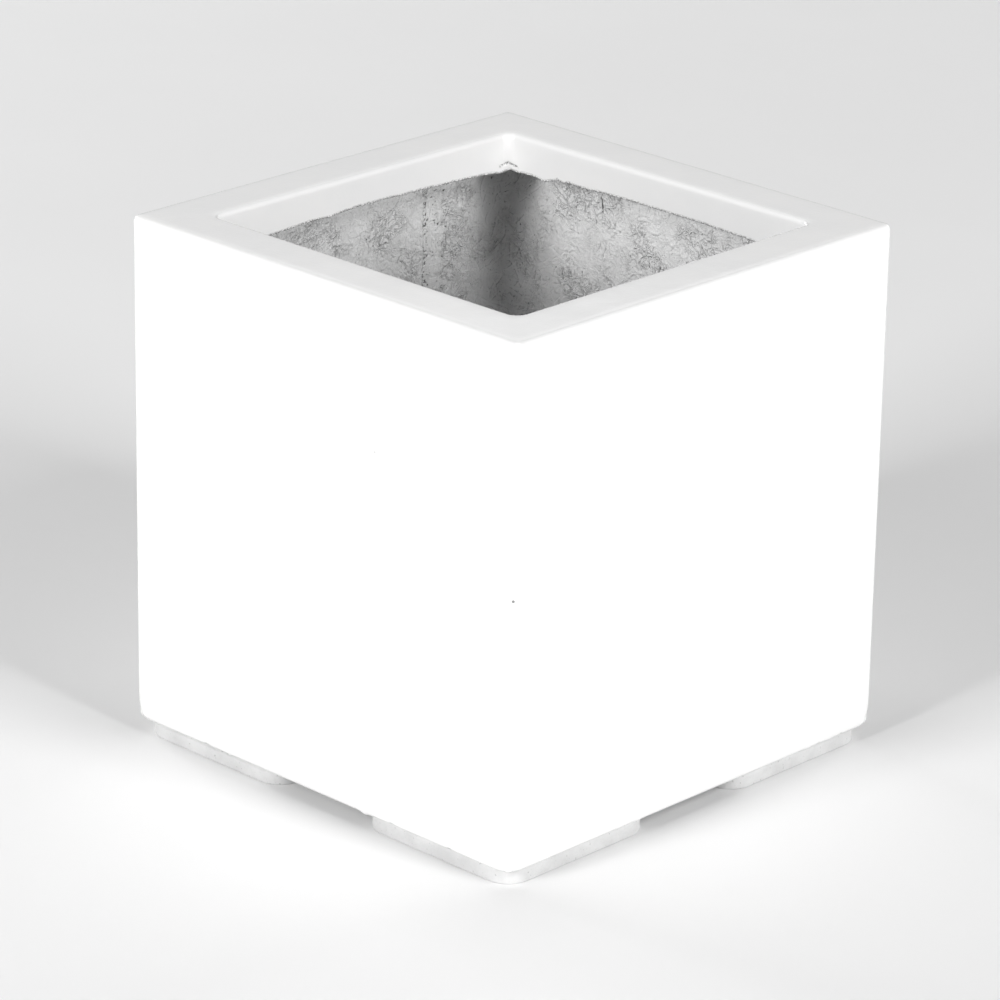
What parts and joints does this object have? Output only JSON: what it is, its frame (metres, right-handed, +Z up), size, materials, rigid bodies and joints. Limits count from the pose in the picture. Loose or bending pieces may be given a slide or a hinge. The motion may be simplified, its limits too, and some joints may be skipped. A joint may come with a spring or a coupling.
{
  "type": "cube planter",
  "caption": "Hollow cube in white gloss glass-fibre laminate, open on top, with a flat rim turned down inside as a lip, raw grey inside, low foot pads and a drain bung; also a display plinth",
  "frame": {"origin": "middle of the footprint, on the ground under the foot pads", "axes": "+Z up through the open mouth; +X and +Y square to two side walls; front is -Y"},
  "size_m": [0.4, 0.4, 0.417],
  "materials": {
    "gelcoat": "high-gloss white gelcoat",
    "laminate": "raw chopped-strand glass laminate, grey, wrinkled and pitted",
    "foot_resin": "cast fibre-filled resin, matt",
    "bung_rubber": "matt black rubber"
  },
  "bodies": {
    "planter": {"gelcoat_skin": "gelcoat", "wall_laminate_front": "laminate", "wall_laminate_right": "laminate", "wall_laminate_back": "laminate", "wall_laminate_left": "laminate", "rim_laminate_front": "laminate", "rim_laminate_right": "laminate", "rim_laminate_back": "laminate", "rim_laminate_left": "laminate", "corner_mat_front_left": "laminate", "corner_mat_front_right": "laminate", "corner_mat_back_right": "laminate", "corner_mat_back_left": "laminate", "base_tape_front": "laminate", "base_tape_right": "laminate", "base_tape_back": "laminate", "base_tape_left": "laminate", "base_panel": "laminate", "foot_pad_front_left": "foot_resin", "foot_pad_front_right": "foot_resin", "foot_pad_back_right": "foot_resin", "foot_pad_back_left": "foot_resin"},
    "bung": {"drain_bung": "bung_rubber"}
  },
  "joints": [
    {"name": "bung_pull", "type": "slide", "parent": "planter", "child": "bung", "axis": [0, 0, 1], "range_m": [0, 0.06]}
  ]
}
